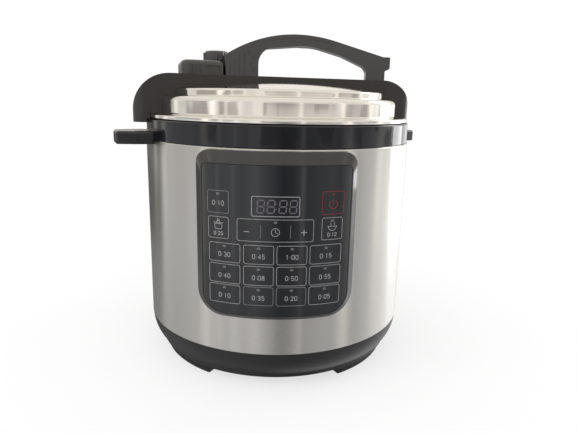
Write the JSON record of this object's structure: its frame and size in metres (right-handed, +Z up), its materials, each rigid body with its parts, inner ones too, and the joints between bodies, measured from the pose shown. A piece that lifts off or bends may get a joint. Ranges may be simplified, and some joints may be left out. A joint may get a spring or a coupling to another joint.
{
  "type": "electric pressure cooker",
  "caption": "Round electric pressure cooker with a steel drum, black ring and base, convex key panel, stepped steel lid with a black bracket, carrying bow and steam valve",
  "frame": {"origin": "on the body axis at floor level, under the middle of the object", "axes": "+Z up, -Y towards the control panel, +X to the right of someone facing the panel"},
  "size_m": [0.306, 0.272, 0.3125],
  "materials": {
    "base_plastic": "satin black moulded plastic",
    "gloss_black": "gloss black moulded plastic",
    "face_black": "smooth gloss black face sheet with printed outlines",
    "brushed_steel": "stainless steel brushed lengthwise",
    "polished_steel": "polished stainless steel",
    "pot_coating": "dark non-stick coating on aluminium",
    "cast_aluminium": "machined cast aluminium",
    "zinc_steel": "zinc plated steel",
    "silicone": "translucent food grade silicone",
    "circuit_board": "green circuit board",
    "components": "moulded electrical components",
    "ceramic": "pale heat resistant moulding",
    "brass_spring": "plated contact spring wire",
    "wire_sheath": "heat resistant wire sheath",
    "cup_plastic": "smoked plastic"
  },
  "bodies": {
    "cooker": {"base_skirt": "base_plastic", "bottom_cover": "base_plastic", "bottom_screws": "zinc_steel", "feet": "base_plastic", "steel_drum": "brushed_steel", "upper_ring": "gloss_black", "ring_screws": "zinc_steel", "side_handle_left": "gloss_black", "side_handle_right": "gloss_black", "handle_screws": "zinc_steel", "panel_frame": "gloss_black", "panel_face": "face_black", "display_block": "components", "control_board": "circuit_board", "touch_springs": "brass_spring", "board_screws": "zinc_steel", "pressure_shell": "polished_steel", "heating_plate": "cast_aluminium", "heating_element": "zinc_steel", "plate_posts": "zinc_steel", "sensor_spring": "zinc_steel", "sensor_guide": "ceramic", "thermal_fuse": "ceramic", "pressure_switch": "ceramic", "power_board": "circuit_board", "board_parts": "components", "power_inlet": "base_plastic", "inlet_pins": "zinc_steel", "mains_wires": "wire_sheath", "heater_wires": "wire_sheath", "ribbon_cable": "wire_sheath", "cup_bracket": "base_plastic"},
    "lid_carrier": {"sealing_ring": "silicone", "sealing_rack": "polished_steel"},
    "lid": {"lid_dome": "polished_steel", "lid_bracket": "gloss_black", "lid_bow": "gloss_black", "lid_screws": "zinc_steel", "valve_housing": "gloss_black", "steam_pipe": "polished_steel", "pipe_nut": "polished_steel", "filter_cap": "polished_steel", "float_bush": "polished_steel"},
    "knob": {"steam_knob": "gloss_black", "valve_weight": "polished_steel"},
    "float": {"float_pin": "polished_steel", "float_seal": "silicone"},
    "pot": {"inner_pot": "pot_coating"},
    "sensor": {"sensor_cap": "cast_aluminium"},
    "cup": {"condensation_cup": "cup_plastic"}
  },
  "joints": [
    {"name": "lid_lift", "type": "slide", "parent": "cooker", "child": "lid_carrier", "axis": [0, 0, 1], "range_m": [0, 0.34]},
    {"name": "lid_turn", "type": "hinge", "parent": "lid_carrier", "child": "lid", "pos_m": [0, 0, 0.24], "axis": [0, 0, 1], "range_deg": [-15, 0]},
    {"name": "pot_lift", "type": "slide", "parent": "cooker", "child": "pot", "axis": [0, 0, 1], "range_m": [0, 0.17]},
    {"name": "steam_knob_turn", "type": "hinge", "parent": "lid", "child": "knob", "pos_m": [-0.06333, 0.0115, 0.285], "axis": [0, 0, 1], "range_deg": [0, 60]},
    {"name": "float_rise", "type": "slide", "parent": "lid", "child": "float", "axis": [0, 0, 1], "range_m": [0, 0.005]},
    {"name": "sensor_press", "type": "slide", "parent": "cooker", "child": "sensor", "axis": [0, 0, 1], "range_m": [-0.003, 0], "stiffness_N_per_m": 300, "springref_m": 0.002, "deforming": ["sensor_spring"]},
    {"name": "cup_slide", "type": "slide", "parent": "cooker", "child": "cup", "axis": [-0.5, 0.866, 0], "range_m": [0, 0.05]}
  ],
  "couplings": [
    {"joint": "pot_lift", "follows": "lid_lift", "ratio": 0.5}
  ]
}
